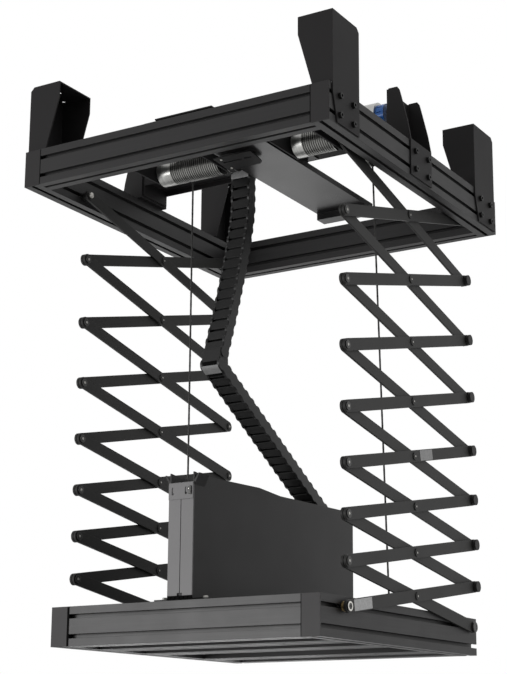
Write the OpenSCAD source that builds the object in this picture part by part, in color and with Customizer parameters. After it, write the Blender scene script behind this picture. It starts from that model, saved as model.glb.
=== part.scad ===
// Projector ceiling lift: a ceiling frame of slotted profile, a platform and a pair of
// eight-stage scissors between them. Units are millimetres.
// Origin: centre of the ceiling bolt pattern. +X right, +Y rear, +Z up.

/* [Frames] */
// Width of the ceiling frame
top_width = 750; // [720:10:900]
// Depth of the ceiling frame
top_depth = 800; // [720:10:900]
// Width of the slotted profile
profile_w = 40; // [38:1:45]
// Height of the slotted profile
profile_h = 80; // [76:2:90]
// Ceiling to the underside of the ceiling frame
hanger_drop = 235; // [225:5:280]
// Platform front edge, behind the front of the ceiling frame
front_setback = 70; // [50:5:80]
// Platform rear edge, ahead of the rear of the ceiling frame
rear_setback = 32; // [20:2:60]
// First cross member, behind the platform front
member_front = 150; // [120:5:180]
// Second cross member, behind the platform front
member_second = 310; // [280:5:340]
// Last cross member, ahead of the platform rear
member_rear = 160; // [130:5:190]
// Opening of the profile slots
slot_open = 8.6; // [8.4:0.1:9.4]
// Thickness of the end caps
cap_t = 3; // [2:0.5:5]

/* [Scissor] */
// Far pins ahead of the rear of the ceiling frame, were an arm level
far_room = 58; // [50:2:76]
// Arm width
arm_width = 25; // [20:1:28]
// Arm thickness
arm_t = 5; // [4:0.25:5.5]
// Height from the top pivots to the bottom pivots
stack_height = 934; // [860:2:960]
// How much taller than the mean the first stage stands
stage_swing = 32; // [0:1:34]
// Pin radius
pin_r = 5; // [4:0.25:6]
// Radius of the pin heads
pin_head_r = 8.5; // [7.5:0.25:9.5]
// Thickness of the round discs on the outer ends of the far pins
disc_t = 8; // [2:0.5:8]
// Near pins behind the front of the ceiling frame
pin_setback = 154; // [140:1:165]

/* [Hangers] */
// Sheet thickness of the hangers
hanger_t = 3; // [2:0.5:4]
// Length of a corner hanger along the beam
hanger_len = 108; // [96:2:120]
// Width of the hanger flanges under the ceiling
flange_w = 79; // [70:1:88]
// Width of the hanger flanges at the beam
flange_low_w = 46; // [40:1:54]
// Ceiling anchor holes, distance apart across and along
anchor_spacing = 680; // [676:1:684]
// Radius of the anchor holes
anchor_r = 6.5; // [5:0.5:8]
// Length of the middle hangers
mid_len = 100; // [90:2:110]
// Height of the middle hanger fins above the beam
fin_height = 127; // [110:1:140]

/* [Drive] */
// Radius of the rope drums
drum_r = 28; // [24:1:30]
// Radius of the drum shaft
shaft_r = 8; // [6:0.5:10]
// Height of the shaft above the frame underside
shaft_up = 30; // [29:1:36]
// Distance of the shaft behind the front of the frame
shaft_setback = 150; // [145:1:156]
// Length of the left drum barrel
left_barrel = 118; // [98:5:123]
// Length of the right drum barrel
right_barrel = 68; // [48:5:68]
// Length of the smooth drum collars
collar_len = 22; // [14:1:26]
// Pitch of the drum grooves
groove_pitch = 5; // [4:0.5:7]
// Rope radius
rope_r = 1.25; // [1:0.05:1.5]
// Rope radius on the guide sheave
sheave_r = 16; // [14:1:20]
// Radius of the motor housing
motor_r = 32; // [28:1:36]

/* [Cable tray and chain] */
// Inside width of the cable tray
tray_in = 52; // [50:1:70]
// Tray height above the platform
tray_height = 251; // [220:1:254]
// Sheet thickness of the tray
tray_t = 3; // [2:0.5:4]
// Width of the energy chain
chain_w = 47; // [40:1:48]
// Depth of the energy chain
chain_d = 28; // [22:1:30]
// Chain hanging straight down from its bracket, before it bends forward
chain_hang = 75; // [50:5:100]
// Radius of the projector bolt holes
projector_hole_r = 3.5; // [2.5:0.5:4.5]

/* [Hidden] */
stages = 8;
run_gap = 0.05;
centre_play = 1.5;
far_play = 1.1;
frame_gap = 6;
layer_gap = 1.5;
plat_gap = 3.5;
head_t = 1.8;
rope_gap = 0.2;
mesh_gap = 0.3;

slot_lip = 4.5;
slot_half = 9;
slot_deep = 13;
slot_at = 20;

top_x = top_width / 2;
top_y = top_depth / 2;
in_x = top_x - profile_w;
in_y = top_y - profile_w;
top_z0 = -hanger_drop;
top_z1 = top_z0 + profile_h;

// layers of the scissor, outer faces of the right side
outer_x1 = in_x - frame_gap;
outer_x0 = outer_x1 - arm_t;
inner_x1 = outer_x0 - layer_gap;
inner_x0 = inner_x1 - arm_t;
plat_x = inner_x0 - plat_gap;
plat_y0 = -top_y + front_setback;
plat_y1 = top_y - rear_setback;
beam_x = plat_x - profile_w / 2;

pin_y = -top_y + pin_setback;
arm_length = top_depth - pin_setback - far_room;
top_pin_z = top_z0 + slot_at;
low_pin_z = top_pin_z - stack_height;
plat_z1 = low_pin_z + slot_at;
plat_z0 = plat_z1 - profile_h;

function stage_h(i) = stack_height / stages + stage_swing * cos(180 * (i - 0.5) / stages);
function node_z(i) = i <= 0 ? top_pin_z : node_z(i - 1) - stage_h(i);
function pair_h(i) = stage_h(i) + stage_h(i + 1);
function arm_rise(i) = i <= 0 ? 2 * stage_h(1) : i >= stages ? 2 * stage_h(stages) : pair_h(i);
function arm_angle(i) = asin(arm_rise(i) / (2 * arm_length));

// drive line
shaft_y = -top_y + shaft_setback;
shaft_z = top_z0 + shaft_up;
plate_t = 4;
left_x1 = 34;
left_x0 = left_x1 - left_barrel - collar_len - 10;
right_x1 = inner_x0 - plat_gap - 6;
right_x0 = right_x1 - right_barrel - collar_len;
groove = 1;
rope_line = drum_r + rope_r + rope_gap;
left_rope_x = -60;
right_rope_x = beam_x;
sheave_y = -82;
sheave_line = shaft_z + rope_line;
sheave_z = sheave_line - sheave_r;
right_anchor_y = -14;
anchor_top = 24;
pulley_x0 = 54;
pulley_x1 = 70;
pulley_r = 24;
motor_pulley_r = 20;
belt_t = 3;
motor_y = 0;
bridge_z0 = top_z1 + 41;
bridge_t = 4;
bridge_z1 = bridge_z0 + bridge_t;
bridge_w = 90;
bridge_ear = 76;
bridge_ear_low = 36;
bridge_flange = 12;
belt_notch_edge = 17;
mid_back_x = in_x - 13;
motor_z = bridge_z1 + 44;

// cover plate
cover_x0 = pulley_x1 + 5;
cover_x1 = right_x0 - 18;
cover_y1 = 113;
cover_z0 = top_z0 + 7;
cover_t = 3;
cover_box = 33;
cover_box_h = 15;
cover_edge = 12;
cover_tab = 70;
cover_lap = 30;

// tray and chain
tray_x = tray_in / 2 + tray_t;
tray_z1 = plat_z1 + tray_height;
tray_y1 = plat_y1 - 43;
chain_r = chain_d / 2;
hinge = [-114, top_z1 - 36];
knee = [-223, -636];
chain_in = [295, -936];
link_t = 5;
upper_links = 17;
lower_links = 23;

module profile_slot() {
    polygon([
        [1, -slot_open / 2], [1, slot_open / 2], [-slot_lip, slot_open / 2],
        [-slot_lip, slot_half], [-slot_lip - 4, slot_half], [-slot_deep, slot_half / 2],
        [-slot_deep, -slot_half / 2], [-slot_lip - 4, -slot_half], [-slot_lip, -slot_half],
        [-slot_lip, -slot_open / 2]
    ]);
}

// slotted profile, centred across and standing on its lower edge
module profile() {
    difference() {
        translate([-profile_w / 2, 0]) square([profile_w, profile_h]);
        for (h = [slot_at, profile_h - slot_at]) {
            translate([profile_w / 2, h]) profile_slot();
            translate([-profile_w / 2, h]) mirror([1, 0]) profile_slot();
        }
        translate([0, profile_h]) rotate(90) profile_slot();
        rotate(-90) profile_slot();
    }
}

module beam_along_y(x, y0, y1, z0) {
    translate([x, y1, z0]) rotate([90, 0, 0]) linear_extrude(y1 - y0) profile();
}

module beam_along_x(x0, x1, y, z0) {
    translate([x0, y, z0]) rotate([90, 0, 90]) linear_extrude(x1 - x0) profile();
}

// a shape drawn in Y and Z, extruded along X
module along_x(x0, t) {
    translate([x0, 0, 0]) rotate([90, 0, 90]) linear_extrude(t) children();
}

// a shape drawn in X and Z, extruded along Y
module along_y(y0, t) {
    translate([0, y0 + t, 0]) rotate([90, 0, 0]) linear_extrude(t) children();
}

module rod_x(x0, x1, y, z, r) {
    translate([x0, y, z]) rotate([0, 90, 0]) cylinder(h = x1 - x0, r = r, $fn = 48);
}

module both() {
    children();
    mirror([1, 0, 0]) children();
}

// ceiling frame
module top_front_beam() {
    color("dimgray") beam_along_x(-in_x, in_x, -top_y + profile_w / 2, top_z0);
}

module top_rear_beam() {
    color("dimgray") beam_along_x(-in_x, in_x, top_y - profile_w / 2, top_z0);
}

module top_side() {
    beam_along_y(top_x - profile_w / 2, -top_y + cap_t, top_y - cap_t, top_z0);
}

module top_left_beam() {
    color("dimgray") mirror([1, 0, 0]) top_side();
}

module top_right_beam() {
    color("dimgray") top_side();
}

module top_end_caps() {
    color("black") both() for (y = [-top_y, top_y - cap_t])
        translate([in_x, y, top_z0]) cube([profile_w, cap_t, profile_h]);
}

// hangers
hanger_y = top_y - 12;
hanger_cut = 9;
flange_neck = 38;
spare_r = 5;
spare_in = 16;
hanger_mid = hanger_y - hanger_len / 2;
hanger_low = 3;
screw_z = [top_z0 + slot_at, top_z1 - slot_at];
screw_r = 4;
screw_head_r = 6.5;
screw_head_t = 6;
corner_screw_dy = 27;
mid_screw_dy = 30;

module hanger_side() {
    y0 = hanger_y - hanger_len;
    difference() {
        along_x(top_x, hanger_t) polygon([
            [y0, 0], [hanger_y - hanger_cut, 0], [hanger_y, -hanger_cut],
            [hanger_y, top_z0 + hanger_low], [y0 + 18, top_z0 + hanger_low], [y0, top_z1 - 18]
        ]);
        for (dy = [-corner_screw_dy, corner_screw_dy]) for (z = screw_z)
            rod_x(top_x - 1, top_x + hanger_t + 1, hanger_mid + dy, z, screw_r + 0.5);
    }
}

module hanger_flange(y0, corner) {
    x1 = top_x + hanger_t;
    along_y(y0, hanger_t) polygon(concat(corner, [
        [x1, top_z1 + 2], [x1 - flange_low_w, top_z1 + 2],
        [x1 - flange_w, -flange_neck], [x1 - flange_w, 0]
    ]));
}

module right_hanger() {
    x1 = top_x + hanger_t;
    y0 = hanger_y - hanger_len;
    hanger_side();
    hanger_flange(y0, [[x1, 0]]);
    hanger_flange(hanger_y - hanger_t, [[x1 - hanger_cut, 0], [x1, -hanger_cut]]);
    difference() {
        translate([0, 0, -hanger_t]) linear_extrude(hanger_t) polygon([
            [x1 - flange_w, y0], [x1, y0], [x1, hanger_y - hanger_cut],
            [x1 - hanger_cut, hanger_y], [x1 - flange_w, hanger_y]
        ]);
        translate([x1 - spare_in, y0 + spare_in, -hanger_t - 1])
            cylinder(h = hanger_t + 2, r = spare_r, $fn = 32);
    }
}

// one form serves all four corners: moved along the beam, or turned for the left side
module rear_right_hanger() {
    difference() {
        right_hanger();
        anchor_holes();
    }
}

module front_right_hanger() {
    difference() {
        translate([0, -2 * hanger_mid, 0]) right_hanger();
        anchor_holes();
    }
}

module anchor_holes() {
    for (x = [-1, 1]) for (y = [-1, 1])
        translate([x * anchor_spacing / 2, y * anchor_spacing / 2, -hanger_t - 1])
            cylinder(h = hanger_t + 2, r = anchor_r, $fn = 48);
}

module rear_hangers() {
    color("dimgray") {
        rear_right_hanger();
        rotate([0, 0, 180]) front_right_hanger();
    }
}

module front_hangers() {
    color("dimgray") {
        front_right_hanger();
        rotate([0, 0, 180]) rear_right_hanger();
    }
}

module fin(y0) {
    x1 = top_x + hanger_t;
    top = top_z1 + fin_height;
    along_y(y0, hanger_t) polygon([
        [mid_back_x, top_z1 + hanger_t], [mid_back_x, top - 6], [mid_back_x + 5, top], [in_x + 12, top],
        [in_x + 17, top - 7], [in_x + 21, top - 22], [in_x + 36, top_z1 + 43],
        [x1, top_z1 + hanger_t]
    ]);
}

module right_mid_hanger() {
    half = mid_len / 2;
    difference() {
        translate([top_x, -half, top_z0 + hanger_low])
            cube([hanger_t, mid_len, profile_h - hanger_low + hanger_t]);
        for (y = [-mid_screw_dy, mid_screw_dy]) for (z = screw_z)
            rod_x(top_x - 1, top_x + hanger_t + 1, y, z, screw_r + 0.5);
    }
    translate([mid_back_x, -half, top_z1]) cube([top_x + hanger_t - mid_back_x, mid_len, hanger_t]);
    translate([mid_back_x, -half, top_z1]) cube([hanger_t, mid_len, fin_height - 2]);
    fin(-half);
    fin(half - hanger_t);
}

module mid_hangers() {
    color("dimgray") both() right_mid_hanger();
}

// socket screw with its slot nut, head on the outer face of the hanger
module slot_screw(y, z) {
    face = top_x + hanger_t;
    nut = top_x - slot_lip;
    difference() {
        union() {
            rod_x(face, face + screw_head_t, y, z, screw_head_r);
            rod_x(nut - 1, face + 1, y, z, screw_r);
            rod_x(nut - 3.5, nut, y, z, slot_half - 1.5);
        }
        translate([face + screw_head_t - 3, y, z]) rotate([0, 90, 0]) cylinder(h = 4, r = 3.4, $fn = 6);
    }
}

module hanger_screws() {
    color("black") both() for (z = screw_z) {
        for (s = [-1, 1]) for (dy = [-corner_screw_dy, corner_screw_dy])
            slot_screw(s * hanger_mid + dy, z);
        for (dy = [-mid_screw_dy, mid_screw_dy]) slot_screw(dy, z);
    }
}

// drums and shaft
module barrel(x0, x1) {
    n = floor((x1 - x0) / groove_pitch);
    margin = (x1 - x0 - n * groove_pitch) / 2;
    turn = [[0, 0], [groove_pitch * 0.45, -groove], [groove_pitch * 0.55, -groove]];
    turns = [for (i = [0 : n - 1]) for (p = turn) [drum_r + p[1], margin + i * groove_pitch + p[0]]];
    grooves = margin > 0 ? turns : [for (i = [1 : len(turns) - 1]) turns[i]];
    ends = [[drum_r, x1 - x0], [shaft_r, x1 - x0]];
    translate([x0, shaft_y, shaft_z]) rotate([0, 90, 0]) rotate_extrude($fn = 48)
        polygon(concat([[shaft_r, 0], [drum_r, 0]], grooves, ends));
}

module collar(x0, x1) {
    difference() {
        rod_x(x0, x1, shaft_y, shaft_z, drum_r);
        rod_x(x0 - 1, x1 + 1, shaft_y, shaft_z, shaft_r);
        translate([(x0 + x1) / 2, shaft_y, shaft_z]) cylinder(h = drum_r + 1, r = 3, $fn = 32);
    }
}

module left_drum() {
    color("silver") {
        collar(left_x0, left_x0 + collar_len + 10);
        barrel(left_x0 + collar_len + 10, left_x1);
    }
}

module right_drum() {
    color("silver") {
        collar(right_x0, right_x0 + collar_len);
        barrel(right_x0 + collar_len, right_x1);
    }
}

module flanged_pulley(y, z, r, bore) {
    difference() {
        union() {
            rod_x(pulley_x0 + 1.5, pulley_x1 - 1.5, y, z, r);
            rod_x(pulley_x0, pulley_x0 + 1.5, y, z, r + 4);
            rod_x(pulley_x1 - 1.5, pulley_x1, y, z, r + 4);
        }
        rod_x(pulley_x0 - 1, pulley_x1 + 1, y, z, bore);
    }
}

bearing_x = [left_x0 - 2 - plate_t, left_x1 + 12, right_x0 - 6 - plate_t, right_x1 + 1.5];

module drive_shaft() {
    color("gray") {
        rod_x(bearing_x[0] - 4, bearing_x[3] + plate_t, shaft_y, shaft_z, shaft_r);
        flanged_pulley(shaft_y, shaft_z, pulley_r, shaft_r);
    }
}

yoke_w = 16;
yoke_in = right_rope_x - yoke_w / 2;
axle_r = 4;

module bearing_blocks() {
    color("dimgray") {
        for (x = bearing_x) difference() {
            union() {
                along_x(x, plate_t) union() {
                    translate([-in_y, top_z0 + 5]) square([shaft_y + in_y, 56]);
                    translate([shaft_y, top_z0 + 5]) square([18, 50]);
                    translate([shaft_y, shaft_z]) circle(r = 24, $fn = 48);
                }
                translate([x > 0 && x < right_x0 && x > left_x1 + 14 ? x : x - 14, -in_y, top_z0 + 5])
                    cube([14 + plate_t, plate_t, 56]);
            }
            rod_x(x - 1, x + plate_t + 1, shaft_y, shaft_z, shaft_r + run_gap);
        }
        // sheave yoke on the right beam
        for (x = [yoke_in - 3, yoke_in + yoke_w]) translate([x, sheave_y - 10, sheave_z - 8])
            cube([3, 20, top_z1 - 5 - sheave_z + 8]);
        translate([yoke_in - 3, sheave_y - 10, top_z1 - 8]) cube([in_x - yoke_in + 3, 20, 3]);
        translate([in_x - 3, sheave_y - 20, top_z1 - 30]) cube([3, 40, 25]);
        rod_x(yoke_in - 4, yoke_in + yoke_w + 4, sheave_y, sheave_z, axle_r);
    }
}

module rope_sheave() {
    bore = axle_r + run_gap;
    rim = sheave_r + 4;
    seat = sheave_r - rope_r - rope_gap;
    wide = yoke_w - 2;
    color("silver") translate([yoke_in + 1, sheave_y, sheave_z]) rotate([0, 90, 0])
        rotate_extrude($fn = 48) polygon([
            [bore, 0], [rim, 0], [rim, 3], [seat, 5],
            [seat, wide - 5], [rim, wide - 3], [rim, wide], [bore, wide]
        ]);
}

// ropes: the fixed stretches over drums and sheave, and the hanging stretches
module rope_arc(x, y, z, r, from, sweep) {
    translate([x, y, z]) rotate([90, 0, 90]) rotate([0, 0, from]) rotate_extrude(angle = sweep, $fn = 64)
        translate([r, 0]) circle(r = rope_r, $fn = 24);
}

module rope_wraps() {
    color("silver") {
        rope_arc(left_rope_x, shaft_y, shaft_z, rope_line, 0, 180);
        rope_arc(right_rope_x, shaft_y, shaft_z, rope_line, 90, 90);
        translate([right_rope_x, sheave_y, sheave_line]) rotate([90, 0, 0])
            cylinder(h = sheave_y - shaft_y, r = rope_r, $fn = 24);
        rope_arc(right_rope_x, sheave_y, sheave_z, sheave_r, 0, 90);
    }
}

left_rope_y = shaft_y + rope_line;
right_rope_y = sheave_y + sheave_r;
right_low = [right_anchor_y, plat_z1 + anchor_top];

module lift_ropes() {
    dy = right_low[0] - right_rope_y;
    dz = sheave_z - right_low[1];
    color("silver") {
        translate([left_rope_x, left_rope_y, plat_z1 + tray_t + anchor_top])
            cylinder(h = shaft_z - plat_z1 - tray_t - anchor_top, r = rope_r, $fn = 24);
        translate([right_rope_x, right_low[0], right_low[1]]) rotate([atan(dy / dz), 0, 0])
            cylinder(h = norm([dy, dz]), r = rope_r, $fn = 24);
    }
}

// motor, belt and the bridge that carries them
module drive_bridge() {
    half = bridge_w / 2;
    color("dimgray") difference() {
        union() {
            translate([-mid_back_x, -half, bridge_z0]) cube([2 * mid_back_x, bridge_w, bridge_t]);
            both() translate([mid_back_x - bridge_t, -half, bridge_z0 - bridge_ear_low])
                cube([bridge_t, bridge_w, bridge_ear]);
            for (y = [-half, half - bridge_t]) translate([-mid_back_x, y, bridge_z0 - bridge_flange])
                cube([pulley_x0 - 5 + mid_back_x, bridge_t, bridge_flange + bridge_t]);
        }
        translate([pulley_x0 - 5, -half - 1, bridge_z0 - 1])
            cube([pulley_x1 - pulley_x0 + 10, half - belt_notch_edge, bridge_t + 2]);
    }
}

gear_x0 = pulley_x1 + 6;
gear_l = 44;
gear_w = 84;
gear_h = 88;
gear_x1 = gear_x0 + gear_l;
motor_end_x = mid_back_x - 22;
motor_x1 = motor_end_x - 20;
saddle_w = 14;

module gear_motor() {
    color("silver") {
        difference() {
            translate([gear_x0, motor_y - gear_w / 2, bridge_z1]) cube([gear_l, gear_w, gear_h]);
            rod_x(gear_x0 - 1, gear_x0 + 30, motor_y, motor_z, 7 + run_gap);
        }
        rod_x(gear_x1, motor_x1, motor_y, motor_z, motor_r);
        for (x = [gear_x1 + 25, motor_x1 - 35]) difference() {
            translate([x, motor_y - motor_r - 4, bridge_z1])
                cube([saddle_w, 2 * motor_r + 8, motor_z - bridge_z1]);
            rod_x(x - 1, x + saddle_w + 1, motor_y, motor_z, motor_r - 0.5);
        }
    }
}

module motor_end() {
    color("blue") difference() {
        rod_x(motor_x1, motor_end_x, motor_y, motor_z, motor_r - 6);
        for (a = [0 : 30 : 330]) translate([motor_x1 + 5, motor_y, motor_z]) rotate([a, 0, 0])
            translate([0, -1.5, motor_r - 8]) cube([motor_end_x - motor_x1 - 10, 3, 4]);
    }
}

module motor_pulley() {
    color("gray") {
        flanged_pulley(motor_y, motor_z, motor_pulley_r, 7);
        rod_x(pulley_x0 - 2, gear_x0 + 28, motor_y, motor_z, 7);
    }
}

// outline of a belt run round both pulleys, r1 at the shaft and r2 at the motor
module belt_run(grow) {
    hull() {
        translate([shaft_y, shaft_z]) circle(r = pulley_r + grow, $fn = 64);
        translate([motor_y, motor_z]) circle(r = motor_pulley_r + grow, $fn = 64);
    }
}

module drive_belt() {
    color("black") along_x(pulley_x0 + 2.5, pulley_x1 - pulley_x0 - 5) difference() {
        belt_run(mesh_gap + belt_t);
        belt_run(mesh_gap);
    }
}

module cover_plate() {
    front = -in_y;
    wide = cover_x1 - cover_x0;
    box_y = cover_y1 - cover_box;
    color("black") {
        translate([cover_x0, front, cover_z0]) cube([wide, cover_y1 - front, cover_t]);
        translate([cover_x0, front, cover_z0]) cube([wide, cover_t, 40]);
        for (x = [cover_x0, cover_x1 - cover_t]) translate([x, front, cover_z0])
            cube([cover_t, cover_y1 - front, cover_edge]);
        // box fold under the rear end
        for (y = [box_y, cover_y1 - cover_t]) translate([cover_x0, y, cover_z0 - cover_box_h])
            cube([wide, cover_t, cover_box_h + 1]);
        translate([cover_x0, box_y, cover_z0 - cover_box_h]) cube([wide, cover_box, cover_t]);
        translate([cover_x0, -cover_tab / 2, cover_z0]) cube([cover_t, cover_tab, bridge_z0 - cover_z0]);
        translate([cover_x0, -cover_tab / 2, bridge_z0 - cover_t]) cube([cover_lap, cover_tab, cover_t]);
    }
}

// energy chain and its bracket
bracket_len = 40;
bracket_side = 22;
bracket_lead = 36;
beam_plate_t = 3;
beam_plate_x = [-64, 99];
upper_plate_x = [-35, 104];

module chain_top_bracket() {
    x1 = chain_w / 2 + bracket_side;
    front = hinge[0] - bracket_lead;
    back = front + bracket_len;
    low = hinge[1] + chain_r + mesh_gap;
    wall = top_z1 + 1 - low;
    // plates lapped on the front beam
    color("black") difference() {
        union() {
            translate([beam_plate_x[0], -top_y + 5, top_z1])
                cube([beam_plate_x[1] - beam_plate_x[0], back + top_y - 5, beam_plate_t]);
            translate([upper_plate_x[0], -top_y + 1, top_z1 + beam_plate_t])
                cube([upper_plate_x[1] - upper_plate_x[0], 2 * profile_w, beam_plate_t]);
            translate([-x1, front, low]) cube([2 * x1, plate_t, wall]);
            for (x = [-x1, x1 - plate_t]) translate([x, front, low]) cube([plate_t, bracket_len, wall]);
            translate([-x1, front, low]) cube([2 * x1, bracket_len, plate_t]);
        }
        for (x = [-24, 6]) translate([x, front + 10, low - 1]) cube([18, 6, plate_t + 2]);
        translate([pulley_x0 - 5, shaft_y + pulley_r, top_z1 - 1])
            cube([pulley_x1 - pulley_x0 + 10, back - shaft_y, beam_plate_t + 2]);
    }
}

// direction of a row of points at its point i, and the edge of a band along that row
function row_dir(points, i) =
    let (step = points[min(i + 1, len(points) - 1)] - points[max(i - 1, 0)]) step / norm(step);
function band_edge(points, side) =
    [for (i = [0 : len(points) - 1]) points[i] + side * [-row_dir(points, i)[1], row_dir(points, i)[0]]];

// side plates and cross bars of a run of links, joined at points given as [y, z]
module chain_run(points) {
    last = len(points) - 1;
    back = band_edge(points, 3 - chain_r);
    for (x = [-chain_w / 2, chain_w / 2 - link_t]) along_x(x, link_t) {
        polygon(concat(band_edge(points, chain_r - 3), [for (i = [0 : last]) back[last - i]]));
        for (p = points) translate(p) circle(r = chain_r, $fn = 32);
    }
    for (i = [0 : last - 1]) {
        step = points[i + 1] - points[i];
        pitch = norm(step);
        translate([0, points[i][0], points[i][1]]) rotate([atan2(step[1], step[0]), 0, 0]) {
            for (z = [-chain_r + 2, chain_r - 5]) translate([-chain_w / 2 + 1, 5, z])
                cube([chain_w - 2, pitch - 6, 3]);
        }
    }
}

// the upper run hangs straight from its hinge, then bends forward to the knee
chain_bend = 1.25;
knee_gap = chain_d - 1.2;
function chain_lean(s) = pow(max(s - chain_hang, 0) / (hinge[1] - knee[1] - chain_hang), chain_bend);
function chain_at(s) = [hinge[0] + (knee[0] - hinge[0]) * chain_lean(s), hinge[1] - s];

module chain_upper_run() {
    drop = hinge[1] - knee[1] - knee_gap;
    color("black") chain_run([for (i = [0 : upper_links]) chain_at(drop * i / upper_links)]);
}

module chain_lower_run() {
    color("black") chain_run([for (i = [0 : lower_links]) knee + (chain_in - knee) * i / lower_links]);
}

// platform
module plat_front_beam() {
    color("dimgray") beam_along_x(-plat_x + profile_w, plat_x - profile_w, plat_y0 + profile_w / 2, plat_z0);
}

module plat_rear_beam() {
    color("dimgray") beam_along_x(-plat_x + profile_w, plat_x - profile_w, plat_y1 - profile_w / 2, plat_z0);
}

module plat_side() {
    beam_along_y(beam_x, plat_y0 + cap_t, plat_y1, plat_z0);
}

module plat_left_beam() {
    color("dimgray") mirror([1, 0, 0]) plat_side();
}

module plat_right_beam() {
    color("dimgray") plat_side();
}

module plat_end_caps() {
    color("black") both() translate([plat_x - profile_w, plat_y0, plat_z0])
        cube([profile_w, cap_t, profile_h]);
}

// cross members: the same profile laid flat, flush with the underside
member_y = [plat_y0 + member_front, plat_y0 + member_second, plat_y1 - member_rear];
bolt_y = [member_y[0], member_y[2]];

module underside_members() {
    half = plat_x - profile_w;
    color("dimgray") difference() {
        for (y = member_y) translate([-half, y + profile_h / 2, plat_z0 + profile_w / 2])
            rotate([90, 0, 90]) linear_extrude(2 * half) rotate(90) profile();
        both() for (y = bolt_y) translate([beam_x / 2, y, plat_z0 - 1])
            cylinder(h = profile_w + 2, r = projector_hole_r, $fn = 32);
    }
}

foot_room = 33;
foot_x = tray_x + foot_room;

module cable_tray() {
    front = plat_y0 + tray_t;
    wall = tray_z1 - plat_z1;
    color("dimgray") {
        difference() {
            union() {
                translate([-tray_x, front, plat_z1]) cube([2 * tray_x, plat_y1 - front, tray_t]);
                translate([-foot_x, front, plat_z1]) cube([2 * foot_x, profile_w - tray_t, tray_t]);
                translate([-foot_x, plat_y1 - profile_w, plat_z1]) cube([2 * foot_x, profile_w, tray_t]);
                translate([left_rope_x - 16, left_rope_y - 18, plat_z1])
                    cube([-left_rope_x + 16, 36, tray_t]);
            }
            both() for (y = [plat_y0 + profile_w / 2, plat_y1 - profile_w / 2])
                translate([foot_x - 14, y, plat_z1 - 1]) cylinder(h = tray_t + 2, r = 4.5, $fn = 32);
            translate([left_rope_x, left_rope_y, plat_z1 - 1]) cylinder(h = tray_t + 2, r = 4.3, $fn = 32);
        }
        both() {
            along_x(tray_in / 2, tray_t) polygon([
                [front, plat_z1], [front, tray_z1], [front + 38, tray_z1 - 4], [-85, tray_z1 + 2],
                [0, tray_z1 - 4], [tray_y1, tray_z1 + 2], [tray_y1, plat_z1]
            ]);
            along_y(front, 36) polygon([
                [tray_in / 2, tray_z1 - 26], [tray_x, tray_z1 - 26], [tray_x + 12, tray_z1 - 3],
                [tray_x + 9, tray_z1 - 3], [tray_in / 2, tray_z1 - 20]
            ]);
        }
        translate([-tray_x, front, plat_z1]) cube([2 * tray_x, tray_t, wall - 24]);
    }
}

module tray_front_plate() {
    split = 1.5;
    low = plat_z1 + 6;
    high = tray_z1 - 20;
    color("lightgray") difference() {
        both() translate([split / 2, plat_y0, low]) cube([tray_x - split / 2, tray_t, high - low]);
        for (x = [-20, 4]) translate([x, plat_y0 - 1, high - 26]) cube([15, tray_t + 2, 6]);
        translate([-6, plat_y0 - 1, low - 1]) cube([12, tray_t + 2, 9]);
    }
}

module rope_anchors() {
    z0 = plat_z1 + tray_t;
    color("gray") {
        translate([left_rope_x, left_rope_y, z0]) cylinder(h = anchor_top, r = 6, $fn = 32);
        translate([left_rope_x, left_rope_y, z0]) cylinder(h = 8, r = 9, $fn = 6);
        translate([left_rope_x, left_rope_y, plat_z1 - 12]) cylinder(h = 16, r = 4, $fn = 32);
        translate([left_rope_x, left_rope_y, plat_z1 - 8]) cylinder(h = 8, r = 8, $fn = 6);
        translate([right_rope_x, right_anchor_y, plat_z1]) cylinder(h = anchor_top - 0.5, r = 6, $fn = 32);
        translate([right_rope_x, right_anchor_y, plat_z1]) cylinder(h = 8, r = 9, $fn = 6);
        translate([right_rope_x, right_anchor_y, plat_z1 - slot_lip - 4]) cylinder(h = 10, r = 4, $fn = 32);
        translate([right_rope_x, right_anchor_y, plat_z1 - slot_lip - 4]) cylinder(h = 4, r = 7.5, $fn = 32);
    }
}

// fixed pivots
module top_pivots() {
    inner = inner_x0 - 0.2;
    color("silver") both() {
        rod_x(inner - head_t, inner, pin_y, top_pin_z, pin_head_r);
        rod_x(inner - 0.5, in_x, pin_y, top_pin_z, pin_r);
        rod_x(inner_x1 + 0.3, in_x, pin_y, top_pin_z, pin_head_r);
        rod_x(in_x - 1, in_x + slot_lip + 4, pin_y, top_pin_z, 4);
        rod_x(in_x + slot_lip, in_x + slot_lip + 4, pin_y, top_pin_z, 7.5);
    }
}

module bottom_pivots() {
    color("silver") both() {
        rod_x(plat_x, outer_x0 - 0.3, pin_y, low_pin_z, pin_head_r);
        rod_x(plat_x, outer_x1 + 0.5, pin_y, low_pin_z, pin_r);
        rod_x(outer_x1 + 0.2, outer_x1 + 0.2 + head_t, pin_y, low_pin_z, pin_head_r);
        rod_x(plat_x - slot_lip - 4, plat_x + 1, pin_y, low_pin_z, 4);
        rod_x(plat_x - slot_lip - 4, plat_x - slot_lip, pin_y, low_pin_z, 7.5);
    }
}

// arms: the outline lies along +Y from the near pin
module arm_outline(near, centre, far) {
    difference() {
        union() {
            translate([0, -arm_width / 2]) square([arm_length, arm_width]);
            circle(r = arm_width / 2, $fn = 48);
            translate([arm_length, 0]) circle(r = arm_width / 2, $fn = 48);
        }
        circle(r = near, $fn = 32);
        if (centre > 0) translate([arm_length / 2, 0]) circle(r = centre, $fn = 32);
        if (far > 0) translate([arm_length, 0]) circle(r = far, $fn = 32);
    }
}

module pin_to_outer(at, out, r) {
    rod_x(inner_x0 - head_t, outer_x1 + 0.5, at, 0, pin_r);
    rod_x(inner_x0 - head_t, inner_x0 + 1, at, 0, pin_head_r);
    rod_x(outer_x1 + 0.2, outer_x1 + 0.2 + out, at, 0, r);
}

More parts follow.
